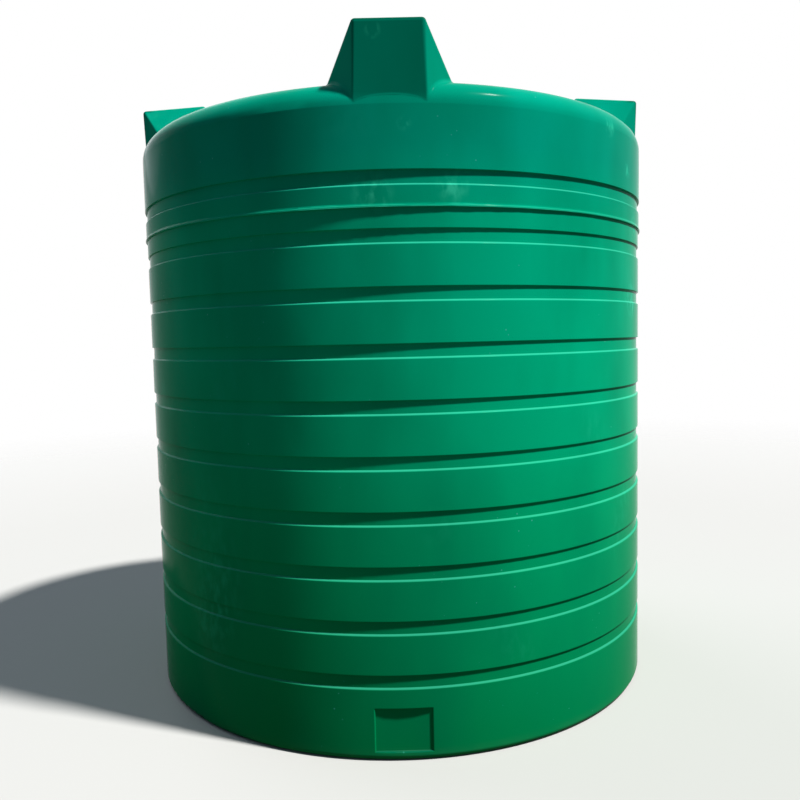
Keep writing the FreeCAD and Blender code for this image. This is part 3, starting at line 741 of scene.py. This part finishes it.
class TANK_OT_stage(bpy.types.Operator):
    """Set the floor, the soft lamps, the pale surroundings and the camera"""
    bl_idname = "tank.stage"
    bl_label = "Set the stage"

    def execute(self, context):
        settings = context.scene.tank_stage
        scene = context.scene
        reach = settings.floor_reach
        mesh = bpy.data.meshes.new("floor")
        mesh.from_pydata([(-reach, -reach, 0), (reach, -reach, 0), (reach, reach, 0),
                          (-reach, reach, 0)], [], [(0, 1, 2, 3)])
        floor = bpy.data.objects.new("floor", mesh)
        # A little under the base, so that the two faces don't share a plane.
        floor.location.z = -0.5 * MM
        scene.collection.objects.link(floor)
        dress(floor, floor_material(settings))

        world = bpy.data.worlds.new("pale_surroundings")
        world.use_nodes = True
        scene.world = world
        tree = world.node_tree
        tree.nodes.clear()
        path = add(tree, "ShaderNodeLightPath")
        seen = add(tree, "ShaderNodeMath", {
            0: path.outputs["Is Camera Ray"], 1: path.outputs["Is Glossy Ray"]},
            operation="MAXIMUM")
        seen = add(tree, "ShaderNodeMath", {
            0: seen.outputs[0], 1: path.outputs["Is Transmission Ray"]}, operation="MAXIMUM")
        soft = add(tree, "ShaderNodeBackground", {
            "Color": settings.sky, "Strength": settings.sky_strength})
        white = add(tree, "ShaderNodeBackground", {"Color": (1, 1, 1, 1), "Strength": 1.0})
        choice = add(tree, "ShaderNodeMixShader", {
            0: seen.outputs[0], 1: soft.outputs[0], 2: white.outputs[0]})
        add(tree, "ShaderNodeOutputWorld", {"Surface": choice.outputs[0]})

        far_lamp("key_lamp", settings.key_azimuth, settings.key_elevation, settings.key_spread,
                 settings.key_strength, KEY_COLOUR)
        far_lamp("rim_lamp", settings.rim_azimuth, settings.rim_elevation, settings.rim_spread,
                 settings.rim_strength, RIM_COLOUR)

        camera = bpy.data.cameras.new("camera")
        camera.sensor_fit = "HORIZONTAL"
        camera.angle = settings.camera_view
        holder = bpy.data.objects.new("camera", camera)
        scene.collection.objects.link(holder)
        right, up, back = camera_axes(settings.camera_yaw, settings.camera_pitch,
                                      settings.camera_roll)
        turn = Matrix((right, up, back)).transposed().to_4x4()
        holder.matrix_world = Matrix.Translation(
            (0, -settings.camera_distance, settings.camera_height)) @ turn
        scene.camera = holder
        scene.view_settings.view_transform = "Standard"
        return {"FINISHED"}


class TANK_PT_sidebar(bpy.types.Panel):
    """Steps and sizes of the water tank in the sidebar"""
    bl_idname = "TANK_PT_sidebar"
    bl_label = "Water tank"
    bl_space_type = "VIEW_3D"
    bl_region_type = "UI"
    bl_category = "Water tank"

    def draw(self, context):
        for step in OPERATORS:
            self.layout.operator(step.bl_idname)
        for name, group in GROUPS.items():
            column = self.layout.column()
            for setting in group.__annotations__:
                column.prop(getattr(context.scene, name), setting)


OPERATORS = (TANK_OT_shell, TANK_OT_flash, TANK_OT_trim, TANK_OT_threads, TANK_OT_lid_ribs,
             TANK_OT_stage)
GROUPS = {"tank_shell": TankShellSettings, "tank_trim": TankTrimSettings,
          "tank_stage": TankStageSettings}


def register():
    for name, group in GROUPS.items():
        bpy.utils.register_class(group)
        setattr(bpy.types.Scene, name, bpy.props.PointerProperty(type=group))
    for item in (*OPERATORS, TANK_PT_sidebar):
        bpy.utils.register_class(item)


def unregister():
    for item in (TANK_PT_sidebar, *reversed(OPERATORS)):
        bpy.utils.unregister_class(item)
    for name, group in GROUPS.items():
        delattr(bpy.types.Scene, name)
        bpy.utils.unregister_class(group)


def main():
    register()
    bpy.ops.tank.shell()
    bpy.ops.tank.flash()
    bpy.ops.tank.trim()
    bpy.ops.tank.threads()
    bpy.ops.tank.lid_ribs()
    bpy.ops.tank.stage()


if __name__ == "__main__":
    main()
